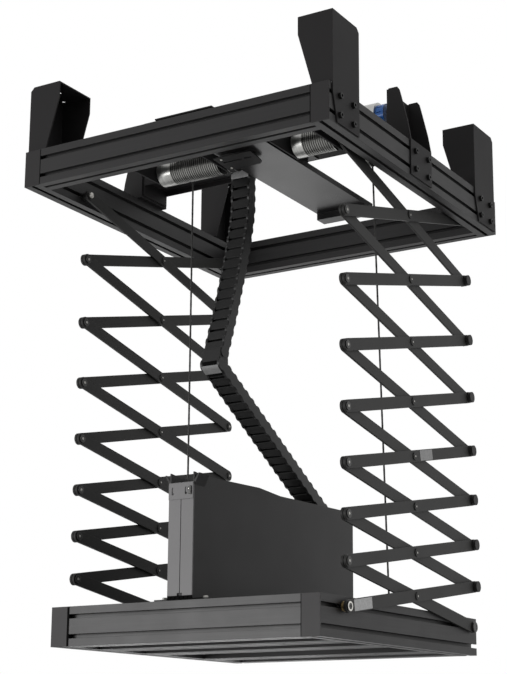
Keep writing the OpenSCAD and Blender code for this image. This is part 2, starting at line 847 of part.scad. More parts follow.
module inner_arms(i) {
    color("dimgray") both() translate([0, pin_y, node_z(i - 1)]) rotate([-arm_angle(i), 0, 0]) {
        along_x(inner_x0, arm_t) arm_outline(pin_r + run_gap, 0, 0);
        pin_to_outer(arm_length / 2, head_t, pin_head_r);
        if (i < stages) pin_to_outer(arm_length, disc_t, arm_width / 2 - 0.5);
        if (i == stages) {
            rod_x(plat_x - slot_lip - 4, inner_x0 + 1, arm_length, 0, 3.6);
            rod_x(plat_x - slot_lip - 4, plat_x - slot_lip - 0.6, arm_length, 0, 7);
        }
    }
}

module outer_arms(i) {
    color("dimgray") both() translate([0, pin_y, node_z(i)]) rotate([arm_angle(i - 1), 0, 0]) {
        along_x(outer_x0, arm_t)
            arm_outline(pin_r + run_gap, pin_r + centre_play, i > 1 ? pin_r + far_play : 0);
        if (i == 1) {
            rod_x(outer_x1 - 1, in_x + slot_lip + 4, arm_length, 0, 3.6);
            rod_x(in_x + slot_lip + 0.6, in_x + slot_lip + 4, arm_length, 0, 7);
        }
    }
}

module joint_pins(i) {
    inner = inner_x0 - 0.2;
    outer = outer_x1 + 0.2;
    color("silver") both() {
        rod_x(inner - head_t, outer + head_t, pin_y, node_z(i), pin_r);
        rod_x(inner - head_t, inner, pin_y, node_z(i), pin_head_r);
        rod_x(outer, outer + head_t, pin_y, node_z(i), pin_head_r);
    }
}

module inner_arms_1() { inner_arms(1); }
module inner_arms_2() { inner_arms(2); }
module inner_arms_3() { inner_arms(3); }
module inner_arms_4() { inner_arms(4); }
module inner_arms_5() { inner_arms(5); }
module inner_arms_6() { inner_arms(6); }
module inner_arms_7() { inner_arms(7); }
module inner_arms_8() { inner_arms(8); }
module outer_arms_1() { outer_arms(1); }
module outer_arms_2() { outer_arms(2); }
module outer_arms_3() { outer_arms(3); }
module outer_arms_4() { outer_arms(4); }
module outer_arms_5() { outer_arms(5); }
module outer_arms_6() { outer_arms(6); }
module outer_arms_7() { outer_arms(7); }
module outer_arms_8() { outer_arms(8); }
module joint_pins_1() { joint_pins(1); }
module joint_pins_2() { joint_pins(2); }
module joint_pins_3() { joint_pins(3); }
module joint_pins_4() { joint_pins(4); }
module joint_pins_5() { joint_pins(5); }
module joint_pins_6() { joint_pins(6); }
module joint_pins_7() { joint_pins(7); }

top_front_beam();
top_rear_beam();
top_left_beam();
top_right_beam();
top_end_caps();
front_hangers();
rear_hangers();
mid_hangers();
hanger_screws();
bearing_blocks();
drive_bridge();
gear_motor();
motor_end();
cover_plate();
chain_top_bracket();
chain_upper_run();
rope_wraps();
lift_ropes();
drive_belt();
top_pivots();
left_drum();
right_drum();
drive_shaft();
rope_sheave();
motor_pulley();
plat_front_beam();
plat_rear_beam();
plat_left_beam();
plat_right_beam();
plat_end_caps();
underside_members();
cable_tray();
tray_front_plate();
chain_lower_run();
rope_anchors();
bottom_pivots();
inner_arms_1();
inner_arms_2();
inner_arms_3();
inner_arms_4();
inner_arms_5();
inner_arms_6();
inner_arms_7();
inner_arms_8();
outer_arms_1();
outer_arms_2();
outer_arms_3();
outer_arms_4();
outer_arms_5();
outer_arms_6();
outer_arms_7();
outer_arms_8();
joint_pins_1();
joint_pins_2();
joint_pins_3();
joint_pins_4();
joint_pins_5();
joint_pins_6();
joint_pins_7();
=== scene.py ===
"""Projector ceiling lift: materials, small fittings, room and light around the CAD frame.

All lengths are in metres and all places in the frame's own coordinates: X to the right,
Y to the back, Z up, with the ceiling at Z = 0.
"""
import math

import bpy
from mathutils import Matrix, Vector


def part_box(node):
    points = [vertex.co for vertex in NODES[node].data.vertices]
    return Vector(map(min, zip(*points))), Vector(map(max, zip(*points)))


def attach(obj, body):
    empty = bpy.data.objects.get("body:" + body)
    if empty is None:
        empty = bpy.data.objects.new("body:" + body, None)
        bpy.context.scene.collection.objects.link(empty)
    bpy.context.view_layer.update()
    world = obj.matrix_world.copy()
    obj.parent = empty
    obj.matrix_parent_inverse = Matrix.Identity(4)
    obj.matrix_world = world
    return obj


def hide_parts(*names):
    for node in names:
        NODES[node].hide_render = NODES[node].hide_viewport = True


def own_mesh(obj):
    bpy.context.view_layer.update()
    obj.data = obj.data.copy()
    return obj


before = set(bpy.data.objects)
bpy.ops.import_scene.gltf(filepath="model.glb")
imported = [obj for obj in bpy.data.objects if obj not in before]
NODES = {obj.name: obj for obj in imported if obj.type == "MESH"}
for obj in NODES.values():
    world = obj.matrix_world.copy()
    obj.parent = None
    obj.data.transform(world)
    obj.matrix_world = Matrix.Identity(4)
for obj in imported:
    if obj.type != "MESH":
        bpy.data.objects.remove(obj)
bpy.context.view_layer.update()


scene = bpy.context.scene
scene.view_settings.view_transform = "Standard"


def new_object(name, data):
    made = bpy.data.objects.new(name, data)
    scene.collection.objects.link(made)
    return made


# camera: below the lift, looking up at its front right corner
AZ, EL = math.radians(30.19), math.radians(-13.29)
CAMERA_AT = (1.740, -2.837, -1.415)
PICTURE_WIDE, PICTURE_TALL = 507, 674
FOCAL_PX, CENTRE_X, CENTRE_Y = 1561.6, 304.8, 382.9
SENSOR_MM = 36
forward = -Vector((math.sin(AZ) * math.cos(EL), -math.cos(AZ) * math.cos(EL), math.sin(EL)))
right = forward.cross(Vector((0, 0, 1))).normalized()
up = right.cross(forward)
camera_data = bpy.data.cameras.new("camera")
camera = new_object("camera", camera_data)
camera.matrix_world = Matrix([*zip(right, up, -forward, CAMERA_AT), (0, 0, 0, 1)])
camera_data.sensor_fit = "AUTO"
camera_data.sensor_width = SENSOR_MM
camera_data.lens = FOCAL_PX / PICTURE_TALL * SENSOR_MM
camera_data.shift_x = (PICTURE_WIDE / 2 - CENTRE_X) / PICTURE_TALL
camera_data.shift_y = (CENTRE_Y - PICTURE_TALL / 2) / PICTURE_TALL
camera_data.clip_end = 60
scene.camera = camera


# parts of the materials
def new_material(name):
    material = bpy.data.materials.new(name)
    material.use_nodes = True
    tree = material.node_tree
    tree.nodes.clear()
    out = tree.nodes.new("ShaderNodeOutputMaterial")
    shader = tree.nodes.new("ShaderNodeBsdfPrincipled")
    tree.links.new(shader.outputs["BSDF"], out.inputs["Surface"])
    return material, tree, shader


def object_coords(tree):
    return tree.nodes.new("ShaderNodeTexCoord").outputs["Object"]


def noise(tree, scale, stretch=(1, 1, 1), detail=4.0):
    place = tree.nodes.new("ShaderNodeMapping")
    place.inputs["Scale"].default_value = stretch
    tree.links.new(object_coords(tree), place.inputs["Vector"])
    texture = tree.nodes.new("ShaderNodeTexNoise")
    texture.inputs["Scale"].default_value = scale
    texture.inputs["Detail"].default_value = detail
    texture.inputs["Roughness"].default_value = 0.55
    tree.links.new(place.outputs["Vector"], texture.inputs["Vector"])
    return texture.outputs["Fac"]


def ramp(tree, fac, low, high, start=0.3, end=0.7):
    # a colour that goes from low to high as fac goes from start to end
    node = tree.nodes.new("ShaderNodeValToRGB")
    for stop, at, colour in zip(node.color_ramp.elements, (start, end), (low, high)):
        stop.position = at
        stop.color = (*colour, 1)
    tree.links.new(fac, node.inputs["Fac"])
    return node.outputs["Color"]


def spread(tree, fac, low, high, start=0.3, end=0.7):
    # a value that goes from low to high as fac goes from start to end
    node = tree.nodes.new("ShaderNodeMapRange")
    node.inputs["From Min"].default_value = start
    node.inputs["From Max"].default_value = end
    node.inputs["To Min"].default_value = low
    node.inputs["To Max"].default_value = high
    tree.links.new(fac, node.inputs["Value"])
    return node.outputs["Result"]


def mix(tree, fac, first, second):
    # first where fac is 0, second, an output or a colour, where it is 1
    node = tree.nodes.new("ShaderNodeMix")
    node.data_type = "RGBA"
    mix_fac, mix_first, mix_second = node.inputs[0], node.inputs[6], node.inputs[7]
    tree.links.new(fac, mix_fac)
    tree.links.new(first, mix_first)
    if isinstance(second, bpy.types.NodeSocket):
        tree.links.new(second, mix_second)
    else:
        mix_second.default_value = (*second, 1)
    return node.outputs[2]


def combine(tree, kind, first, second):
    node = tree.nodes.new("ShaderNodeMath")
    node.operation = kind
    for socket, value in zip(node.inputs, (first, second)):
        if isinstance(value, bpy.types.NodeSocket):
            tree.links.new(value, socket)
        else:
            socket.default_value = value
    return node.outputs[0]


def vector_math(tree, kind, first, second=None):
    node = tree.nodes.new("ShaderNodeVectorMath")
    node.operation = kind
    tree.links.new(first, node.inputs[0])
    if isinstance(second, bpy.types.NodeSocket):
        tree.links.new(second, node.inputs[1])
    elif second:
        node.inputs[1].default_value = second
    return node


def edges(tree, radius):
    # rounded normals, and how far they turn away from the flat face: 1 on a rounded edge
    bevel = tree.nodes.new("ShaderNodeBevel")
    bevel.samples = 6
    bevel.inputs["Radius"].default_value = radius
    rounded = bevel.outputs["Normal"]
    flat = tree.nodes.new("ShaderNodeNewGeometry").outputs["Normal"]
    alike = vector_math(tree, "DOT_PRODUCT", rounded, flat).outputs["Value"]
    return rounded, spread(tree, alike, 1, 0, 0.80, 0.99)


def add_bump(tree, shader, height, strength, depth, normal=None):
    node = tree.nodes.new("ShaderNodeBump")
    node.inputs["Strength"].default_value = strength
    node.inputs["Distance"].default_value = depth
    tree.links.new(height, node.inputs["Height"])
    if normal:
        tree.links.new(normal, node.inputs["Normal"])
    tree.links.new(node.outputs["Normal"], shader.inputs["Normal"])


def surface(name, base, rough, metallic=0.0, specular=0.3, var=0.04, mottle=12.0,
            rough_var=0.02, grain=(1, 1, 1), grain_scale=900.0, bump=0.1, bump_depth=0.00005,
            edge=None, round_edge=0.0008, coat=0.0, streak=0.0):
    """A mottled, finely grained surface, paler by patches along its edges, partly from real
    wear and partly as a painted highlight.

    var and mottle: how much, and how finely, the colour varies. grain: stretch of the fine
    grain. streak: how much paler the lines of a drawn profile are.
    """
    material, tree, shader = new_material(name)
    cloud = noise(tree, mottle)
    fine = noise(tree, grain_scale, grain, detail=3)
    dark = tuple(c * (1 - var) for c in base)
    light = tuple(min(1, c * (1 + var)) for c in base)
    colour = ramp(tree, cloud, dark, light)
    if streak:
        lines = noise(tree, grain_scale * 0.4, grain, detail=5)
        drawn = tuple(min(1, c * (1 + streak)) for c in base)
        colour = mix(tree, spread(tree, lines, 0, 1, 0.45, 0.75), colour, drawn)
    normal, rim = edges(tree, round_edge)
    if edge:
        # paler edges: partly real wear, partly a painted highlight along the rounded edges
        pale_marks = spread(tree, noise(tree, 70, detail=5), 0.4, 1, 0.35, 0.6)
        colour = mix(tree, combine(tree, "MULTIPLY", rim, pale_marks), colour, edge)
    tree.links.new(colour, shader.inputs["Base Color"])
    gloss = combine(tree, "ADD", spread(tree, cloud, rough - rough_var, rough + rough_var),
                    spread(tree, fine, -rough_var, rough_var))
    tree.links.new(gloss, shader.inputs["Roughness"])
    shader.inputs["Metallic"].default_value = metallic
    shader.inputs["Specular IOR Level"].default_value = specular
    shader.inputs["Coat Weight"].default_value = coat
    add_bump(tree, shader, fine, bump, bump_depth, normal)
    return material


# materials, by the short names that dress() and the pieces use
M = {}
# paler colour for edges: partly real wear, partly a painted highlight
EDGE = (0.060, 0.060, 0.058)
ANODISED = (0.0150, 0.0145, 0.0148)
# painted light: a paler copy of the anodised tone, for the platform's front and rear beams
ANODISED_PAINTED_LIT = (0.0190, 0.0182, 0.0184)
SHEET_LOOK = dict(bump=0.25, grain_scale=1300, bump_depth=0.00008, round_edge=0.0010)
DRAWN_LOOK = dict(grain_scale=800, bump=0.12, edge=EDGE, streak=0.25, rough_var=0.03,
                  round_edge=0.0009)
METAL_LOOK = dict(metallic=1.0, var=0.12, mottle=60, rough_var=0.05)
LABEL_LOOK = dict(metallic=0.1, mottle=260, rough_var=0.06, round_edge=0.0003)

# drawn profile: fine lines run along its length
ALONG_X, ALONG_Y = (0.01, 1, 1), (1, 0.01, 1)
M["profile_x"] = surface("profile_x", ANODISED, 0.48, specular=0.23, grain=ALONG_X,
                         **DRAWN_LOOK)
M["profile_y"] = surface("profile_y", ANODISED, 0.48, specular=0.23, grain=ALONG_Y,
                         **DRAWN_LOOK)
# painted light: a lit copy of the profile finish, paler and glossier, for the platform's
# front and rear beams
M["profile_painted_lit"] = surface("profile_painted_lit", ANODISED_PAINTED_LIT, 0.42, specular=0.34, grain=ALONG_X,
                           **DRAWN_LOOK)
# painted sheet and arms
M["sheet"] = surface("sheet_black", (0.0140, 0.0132, 0.0136), 0.60, specular=0.14, edge=EDGE,
                     **SHEET_LOOK)
M["dark"] = surface("dark_sheet", (0.0075, 0.0072, 0.0074), 0.62, specular=0.12,
                    edge=(0.018, 0.018, 0.018), **SHEET_LOOK)
M["tray"] = surface("tray_black", (0.0170, 0.0165, 0.0165), 0.50, specular=0.22, edge=EDGE,
                    **SHEET_LOOK)
M["cover"] = surface("cover_paint", (0.0110, 0.0105, 0.0108), 0.30, specular=0.16,
                     grain_scale=1300, edge=EDGE, round_edge=0.0010)
M["grey"] = surface("front_grey", (0.135, 0.132, 0.134), 0.46, var=0.03, grain_scale=1300,
                    bump=0.2, edge=(0.26, 0.26, 0.26), round_edge=0.0009)
M["arm"] = surface("arm_paint", (0.0150, 0.0148, 0.0142), 0.55, specular=0.2,
                   edge=(0.050, 0.050, 0.048), bump=0.15, grain_scale=1100, round_edge=0.0009)
# bare metal
M["zinc"] = surface("zinc", (0.50, 0.49, 0.46), 0.32, edge=(0.62, 0.61, 0.58),
                    round_edge=0.0005, **METAL_LOOK)
M["brass"] = surface("brass", (0.20, 0.145, 0.065), 0.30, edge=(0.55, 0.42, 0.22),
                     round_edge=0.0005, **METAL_LOOK)
M["rivet"] = surface("rivet_steel", (0.27, 0.265, 0.25), 0.36, edge=(0.38, 0.37, 0.35),
                     round_edge=0.0004, **METAL_LOOK)
M["alloy"] = surface("motor_alloy", (0.42, 0.42, 0.41), 0.36, metallic=1.0, var=0.08,
                     mottle=40, bump=0.2, edge=(0.55, 0.55, 0.54), rough_var=0.05)
M["pulley"] = surface("pulley_steel", (0.16, 0.16, 0.155), 0.36, metallic=0.9, var=0.1,
                      mottle=50, rough_var=0.04)
M["pin"] = surface("pin_steel", (0.035, 0.035, 0.034), 0.35, metallic=0.6, var=0.1, mottle=80,
                   edge=(0.14, 0.14, 0.135))
M["screw"] = surface("black_steel", (0.0060, 0.0060, 0.0060), 0.45, metallic=0.2,
                     specular=0.18, grain_scale=1500, edge=(0.014, 0.014, 0.014),
                     round_edge=0.0006)
# plastic, rubber and labels
M["cap"] = surface("cap_plastic", (0.0200, 0.0190, 0.0195), 0.60, specular=0.18,
                   grain_scale=1500, bump=0.3, edge=(0.040, 0.040, 0.040), round_edge=0.0010)
# painted light: a lit copy of the cap plastic, paler and glossier, for the platform's end
# caps
M["cap_painted_lit"] = surface("cap_painted_lit", (0.0215, 0.0202, 0.0208), 0.50, specular=0.24,
                       grain_scale=1500, bump=0.3, edge=EDGE, round_edge=0.0010)
M["chain"] = surface("chain_plastic", (0.0085, 0.0085, 0.0085), 0.42, specular=0.25, var=0.06,
                     grain_scale=1500, bump=0.15, edge=(0.030, 0.030, 0.030),
                     round_edge=0.0009)
M["blue"] = surface("motor_blue", (0.010, 0.115, 0.420), 0.36, metallic=0.1, var=0.1,
                    grain_scale=1200, edge=(0.07, 0.13, 0.25), coat=0.2)
M["strip"] = surface("strip_grey", (0.200, 0.200, 0.200), 0.5, var=0.15, mottle=200,
                     edge=(0.26, 0.26, 0.26))
# near-black: rubber for the comb, painted shade for the strips at the end caps and at the
# chain's knee
M["gap"] = surface("black_rubber_and_painted_shade", (0.0030, 0.0030, 0.0030), 0.85, specular=0.04,
                   edge=(0.006, 0.006, 0.006))
M["belt"] = surface("belt_rubber", (0.012, 0.012, 0.012), 0.7, specular=0.2, bump=0.3,
                    edge=(0.03, 0.03, 0.03))
M["label"] = surface("bare_label", (0.42, 0.42, 0.42), 0.5, var=0.16,
                     edge=(0.45, 0.45, 0.45), **LABEL_LOOK)
M["dim_label"] = surface("dim_label", (0.27, 0.27, 0.27), 0.5, var=0.2,
                         edge=(0.30, 0.30, 0.30), **LABEL_LOOK)


def rope_material():
    # dark wire rope, banded along the lay of its strands
    material, tree, shader = new_material("rope_steel")
    wave = tree.nodes.new("ShaderNodeTexWave")
    wave.bands_direction = "DIAGONAL"
    wave.inputs["Scale"].default_value = 190
    wave.inputs["Distortion"].default_value = 1.2
    tree.links.new(object_coords(tree), wave.inputs["Vector"])
    lay = wave.outputs["Fac"]
    colour = ramp(tree, lay, (0.012, 0.012, 0.012), (0.050, 0.049, 0.047), 0.1, 0.9)
    tree.links.new(colour, shader.inputs["Base Color"])
    tree.links.new(spread(tree, lay, 0.5, 0.3), shader.inputs["Roughness"])
    shader.inputs["Metallic"].default_value = 0.1
    shader.inputs["Specular IOR Level"].default_value = 0.2
    add_bump(tree, shader, lay, 0.8, 0.0003)
    return material


def middle(box):
    return (box[0] + box[1]) / 2


shaft_at = middle(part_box("drive_shaft"))


def drum_material():
    # turned steel, bright on the collars; the barrels have painted shade in the grooves and a
    # painted highlight on the crests
    groove_r, crest_r = 0.0272, 0.02795
    left_collar, right_collar = 0.032, 0.022
    collar_edge = 0.0002
    material, tree, shader = new_material("drum_steel")
    rings = noise(tree, 500, (1, 0.02, 0.02), detail=3)
    coords = object_coords(tree)
    split = tree.nodes.new("ShaderNodeSeparateXYZ")
    tree.links.new(coords, split.inputs[0])
    x = split.outputs["X"]
    # distance from the shaft line tells crest from groove
    shifted = vector_math(tree, "SUBTRACT", coords, (0, shaft_at.y, shaft_at.z)).outputs[0]
    flat = vector_math(tree, "MULTIPLY", shifted, (0, 1, 1)).outputs[0]
    reach = vector_math(tree, "LENGTH", flat).outputs["Value"]
    crest = spread(tree, reach, 0, 1, groove_r, crest_r)

    def between(low, high):
        after = spread(tree, x, 0, 1, low - collar_edge, low + collar_edge)
        before = spread(tree, x, 1, 0, high - collar_edge, high + collar_edge)
        return combine(tree, "MULTIPLY", after, before)

    left_x, right_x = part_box("left_drum")[0].x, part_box("right_drum")[0].x
    collars = combine(tree, "ADD", between(left_x, left_x + left_collar),
                      between(right_x, right_x + right_collar))
    bright = ramp(tree, rings, (0.28, 0.28, 0.27), (0.43, 0.43, 0.415))
    # barrels: painted shade in the grooves, painted highlight on the crests
    dark = ramp(tree, rings, (0.030, 0.030, 0.028), (0.060, 0.060, 0.056))
    pale_marks = ramp(tree, rings, (0.25, 0.25, 0.24), (0.46, 0.46, 0.44))
    barrel = mix(tree, crest, dark, pale_marks)
    tree.links.new(mix(tree, collars, barrel, bright), shader.inputs["Base Color"])
    shader.inputs["Metallic"].default_value = 0.9
    tree.links.new(spread(tree, rings, 0.26, 0.42), shader.inputs["Roughness"])
    add_bump(tree, shader, rings, 0.15, 0.0001)
    return material


M["rope"] = rope_material()
M["drum"] = drum_material()

STAGES = range(1, 9)
NEAR_PINS = range(1, 8)


def dress(material, *names):
    for name in names:
        data = NODES[name].data
        data.materials.clear()
        data.materials.append(M[material])


dress("profile_x", "top_front_beam", "top_rear_beam", "underside_members")
dress("profile_y", "top_left_beam", "top_right_beam", "plat_left_beam", "plat_right_beam")
# the platform's front and rear beams and end caps get the painted lit copies of the frame's
# finishes
dress("profile_painted_lit", "plat_front_beam", "plat_rear_beam")
dress("cap", "top_end_caps")
dress("cap_painted_lit", "plat_end_caps")
dress("sheet", "front_hangers", "rear_hangers", "mid_hangers", "drive_bridge")
dress("dark", "bearing_blocks", "chain_top_bracket")
dress("tray", "cable_tray")
dress("screw", "hanger_screws")
dress("alloy", "gear_motor")
dress("blue", "motor_end")
dress("cover", "cover_plate")
dress("chain", "chain_upper_run", "chain_lower_run")
dress("rope", "rope_wraps", "lift_ropes")
dress("belt", "drive_belt")
dress("zinc", "rope_anchors")
dress("pin", "top_pivots", "bottom_pivots", *["joint_pins_%d" % i for i in NEAR_PINS])
dress("drum", "left_drum", "right_drum")
dress("pulley", "drive_shaft", "rope_sheave", "motor_pulley")
dress("grey", "tray_front_plate")
dress("arm", *["inner_arms_%d" % i for i in STAGES], *["outer_arms_%d" % i for i in STAGES])


# makers of pieces
def mesh_piece(name, verts, faces, material, body):
    data = bpy.data.meshes.new(name)
    data.from_pydata([tuple(v) for v in verts], [], faces)
    data.validate()
    data.update()
    piece = new_object(name, data)
    data.materials.append(M[material])
    if body:
        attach(piece, body)
    return piece


def copy_node(node, name):
    data = NODES[node].data.copy()
    data.name = name
    return new_object(name, data)


def radius_at(r, sides, angle):
    # reach of a polygon whose corners lie on radius r, or of a circle where sides is 0
    if not sides:
        return r
    half = math.pi / sides
    return r * math.cos(half) / math.cos(angle % (2 * half) - half)


def corners(wide, tall, r, steps):
    # round corners of a rectangle: the middle of each corner's arc, and angles along it
    points = []
    for sx, sy, turn in ((1, 1, 0), (-1, 1, 90), (-1, -1, 180), (1, -1, 270)):
        for k in range(steps):
            angle = math.radians(turn + 90 * k / (steps - 1))
            points.append((sx * (wide / 2 - r), sy * (tall / 2 - r), angle))
    return points


class Parts:
    """Turned and flat forms gathered into one piece."""

    def __init__(self):
        self.verts = []
        self.faces = []

    def loops(self, rings):
        # skin over rings of points, closed at both ends
        start, count = len(self.verts), len(rings[0])
        for ring in rings:
            self.verts += ring
        for i in range(len(rings) - 1):
            low = start + i * count
            for k in range(count):
                n = (k + 1) % count
                self.faces.append((low + k, low + n, low + count + n, low + count + k))
        self.faces.append(tuple(range(start, start + count))[::-1])
        self.faces.append(tuple(range(len(self.verts) - count, len(self.verts))))

    def turned(self, at, axis, rings, steps=48):
        # rings: height along the axis, radius, and the number of flats, 0 where it is round
        axis = Vector(axis).normalized()
        side = axis.orthogonal().normalized()
        other = axis.cross(side)
        made = []
        for height, r, sides in rings:
            ring = []
            for k in range(steps):
                angle = 2 * math.pi * k / steps
                reach = radius_at(r, sides, angle)
                ring.append(Vector(at) + axis * height + side * (reach * math.cos(angle))
                            + other * (reach * math.sin(angle)))
            made.append(ring)
        self.loops(made)

    def plate(self, at, u, v, wide, tall, thick, corner, chamfer):
        # centred on at, and rising from it by thick along u x v
        u, v = Vector(u).normalized(), Vector(v).normalized()
        out_of = u.cross(v)
        rings = []
        for height, inset in ((0, 0), (thick - chamfer, 0), (thick, chamfer)):
            r = corner - inset
            rings.append([Vector(at) + u * (cx + r * math.cos(angle))
                          + v * (cy + r * math.sin(angle)) + out_of * height
                          for cx, cy, angle in corners(wide, tall, corner, 5)])
        self.loops(rings)

    def prism(self, outline, half_width):
        # an outline in Y and Z, drawn out along X to both sides
        rim = 0.96 * half_width
        self.loops([[Vector((x, y, z)) for y, z in outline]
                    for x in (-half_width, -rim, rim, half_width)])

    def piece(self, name, material, body):
        return mesh_piece(name, self.verts, self.faces, material, body)


X_AXIS, Z_AXIS = (1, 0, 0), (0, 0, 1)
BOTH = (-1, 1)


# ropes: twisted wire, six strands round the rope's own line
def rope_piece(name, top, low, radius, body):
    rows, sides, strands, twists, strand_depth = 200, 18, 6, 40, 0.10
    along = low - top
    length = along.length
    along.normalize()
    side = along.cross(Vector(X_AXIS)).normalized()
    other = along.cross(side)
    rings = []
    for i in range(rows + 1):
        at = top + along * (length * i / rows)
        turn = 2 * math.pi * twists * i / rows
        ring = []
        for k in range(sides):
            a = 2 * math.pi * k / sides
            r = radius * (1 - strand_depth + strand_depth * math.cos(strands * (a - turn)))
            ring.append(at + side * (r * math.cos(a)) + other * (r * math.sin(a)))
        rings.append(ring)
    parts = Parts()
    parts.loops(rings)
    piece = parts.piece(name, "rope", body)
    for face in piece.data.polygons:
        face.use_smooth = True
    return piece


ROPE_R = 0.00125
ROPE_LOOK_R = 0.0021
LEFT_ROPE_X, LEFT_ANCHOR_Z = -0.060, -1.102
RIGHT_ROPE_X, RIGHT_ANCHOR_Y, RIGHT_ANCHOR_Z = 0.294, -0.014, -1.105
SHEAVE_R = 0.016
left_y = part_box("lift_ropes")[0].y + ROPE_R
sheave_at = middle(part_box("rope_sheave"))
left_top = Vector((LEFT_ROPE_X, left_y, shaft_at.z))
left_low = Vector((LEFT_ROPE_X, left_y, LEFT_ANCHOR_Z))
right_top = Vector((RIGHT_ROPE_X, sheave_at.y + SHEAVE_R, sheave_at.z))
right_low = Vector((RIGHT_ROPE_X, RIGHT_ANCHOR_Y, RIGHT_ANCHOR_Z))
for name, a, b in (("rope_left", left_top, left_low), ("rope_right", right_top, right_low)):
    rope = rope_piece(name, a, b, ROPE_LOOK_R, "root")
    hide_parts("lift_ropes")
    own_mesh(rope)

# chain runs, which on the real lift close up as the platform rises: here rigid copies, the
# upper one on the frame and the lower one riding on the platform
KNEE_Z, HINGE_Z, TRAY_Z = -0.636, -0.191, -0.936
upper_span, lower_span = KNEE_Z - HINGE_Z, TRAY_Z - KNEE_Z
upper_run = copy_node("chain_upper_run", "chain_upper_look")
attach(upper_run, "root")
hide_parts("chain_upper_run")
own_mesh(upper_run)
lower_run = copy_node("chain_lower_run", "chain_lower_look")
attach(lower_run, "platform")
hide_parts("chain_lower_run")
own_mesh(lower_run)

# fittings that the frame leaves plain: first the riveted ends of the pins, on both faces
# of each side
ARM_HALF = 0.0125
PIN_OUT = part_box("joint_pins_1")[1].x
PIN_IN = PIN_OUT - 0.0155
NEAR_R, CENTRE_R = 0.0030, 0.0022


def pins_of(arm):
    # centre and far pin of an inner arm, which falls to the back
    low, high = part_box(arm)
    near = Vector((0, low.y + ARM_HALF, high.z - ARM_HALF))
    far = Vector((0, high.y - ARM_HALF, low.z + ARM_HALF))
    return (near + far) / 2, far


def both_faces(pin, r):
    return [((sign * x, pin.y, pin.z), (sign * facing, 0, 0), r)
            for sign in BOTH for x, facing in ((PIN_OUT, 1), (PIN_IN, -1))]


def pin_ends(name, body, places):
    parts = Parts()
    for place, facing, r in places:
        parts.turned(place, facing, [(-0.0010, r, 0), (0.0004, r, 0), (0.0009, 0.85 * r, 0),
                                     (0.0011, 0.35 * r, 0), (0.0007, 0.2 * r, 0)])
    parts.piece(name, "rivet", body)


for i in NEAR_PINS:
    pin_ends("near_pin_ends_%d" % i, "joint_pin_%d" % i,
             both_faces(middle(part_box("joint_pins_%d" % i)), NEAR_R))
for i in STAGES:
    centre, far = pins_of("inner_arms_%d" % i)
    places = both_faces(centre, CENTRE_R)
    if i < STAGES[-1]:
        places += [((sign * PIN_IN, far.y, far.z), (-sign, 0, 0), NEAR_R) for sign in BOTH]
    pin_ends("centre_pin_ends_%d" % i, "inner_arm_%d" % i, places)

# fixed pivots: bright heads at the top, brass nuts and washers at the foot
PIVOT_Y, TOP_Z, LOW_Z = -0.246, -0.215, -1.149
TOP_NUT_X, LOW_NUT_X, WASHER_X, LOW_END_X = 0.3156, 0.3155, 0.3308, 0.3317
top_nuts, low_nuts, low_ends, washers = Parts(), Parts(), Parts(), Parts()
for sign in BOTH:
    top_nuts.turned((sign * TOP_NUT_X, PIVOT_Y, TOP_Z), (-sign, 0, 0),
                    [(0, 0.0062, 0), (0.0006, 0.0068, 6), (0.0030, 0.0068, 6),
                     (0.0036, 0.0060, 0), (0.0037, 0.0034, 0), (0.0046, 0.0030, 0)])
    low_nuts.turned((sign * LOW_NUT_X, PIVOT_Y, LOW_Z), (sign, 0, 0),
                    [(0, 0.0088, 0), (0.0006, 0.0102, 6), (0.0028, 0.0102, 6),
                     (0.0034, 0.0088, 0), (0.0042, 0.0088, 0), (0.0048, 0.0102, 6),
                     (0.0068, 0.0102, 6), (0.0074, 0.0088, 0)])
    washers.turned((sign * WASHER_X, PIVOT_Y, LOW_Z), (sign, 0, 0),
                   [(0, 0.0092, 0), (0.0012, 0.0095, 0), (0.0017, 0.0090, 0),
                    (0.0017, 0.0062, 0), (0.0010, 0.0060, 0)])
    low_ends.turned((sign * LOW_END_X, PIVOT_Y, LOW_Z), (sign, 0, 0),
                    [(0, 0.0056, 0), (0.0010, 0.0056, 0), (0.0014, 0.0050, 0),
                     (0.0014, 0.0026, 6), (0.0004, 0.0024, 6)])
top_nuts.piece("top_pivot_nuts", "zinc", "root")
low_nuts.piece("low_pivot_nuts", "brass", "platform")
washers.piece("low_pivot_washers", "zinc", "platform")
low_ends.piece("low_pivot_ends", "pin", "platform")

# heads of the slide studs at the far ends of the lowest arms
STUD_X = 0.3226
low_far = pins_of("inner_arms_8")[1]
studs = Parts()
for sign in BOTH:
    studs.turned((sign * STUD_X, low_far.y, low_far.z), (sign, 0, 0),
                 [(0, 0.0112, 0), (0.0004, 0.0116, 0), (0.0042, 0.0116, 0),
                  (0.0050, 0.0108, 0), (0.0050, 0.0060, 0), (0.0044, 0.0056, 0)])
studs.piece("slide_stud_heads", "pin", "inner_arm_8")

# bare labels lie along the outer faces of two arms
ARM_FACE = 0.3290
LABEL_TALL = 0.0220


def label(name, arm, body, start, wide, material):
    # an outer arm rises to the back; start is the way from its near pin to the label
    low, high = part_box(arm)
    near = Vector((0, low.y + ARM_HALF, low.z + ARM_HALF))
    far = Vector((0, high.y - ARM_HALF, high.z - ARM_HALF))
    along = (far - near).normalized()
    across = Vector(X_AXIS).cross(along)
    at = near + along * (start + wide / 2) + Vector((ARM_FACE, 0, 0))
    parts = Parts()
    parts.plate(at, along, across, wide, LABEL_TALL, 0.0003, 0.0012, 0.0001)
    parts.piece(name, material, body)


label("bare_label_low", "outer_arms_8", "outer_arm_8", 0.021, 0.073, "label")
label("bare_label_mid", "outer_arms_5", "outer_arm_5", 0.322, 0.060, "dim_label")

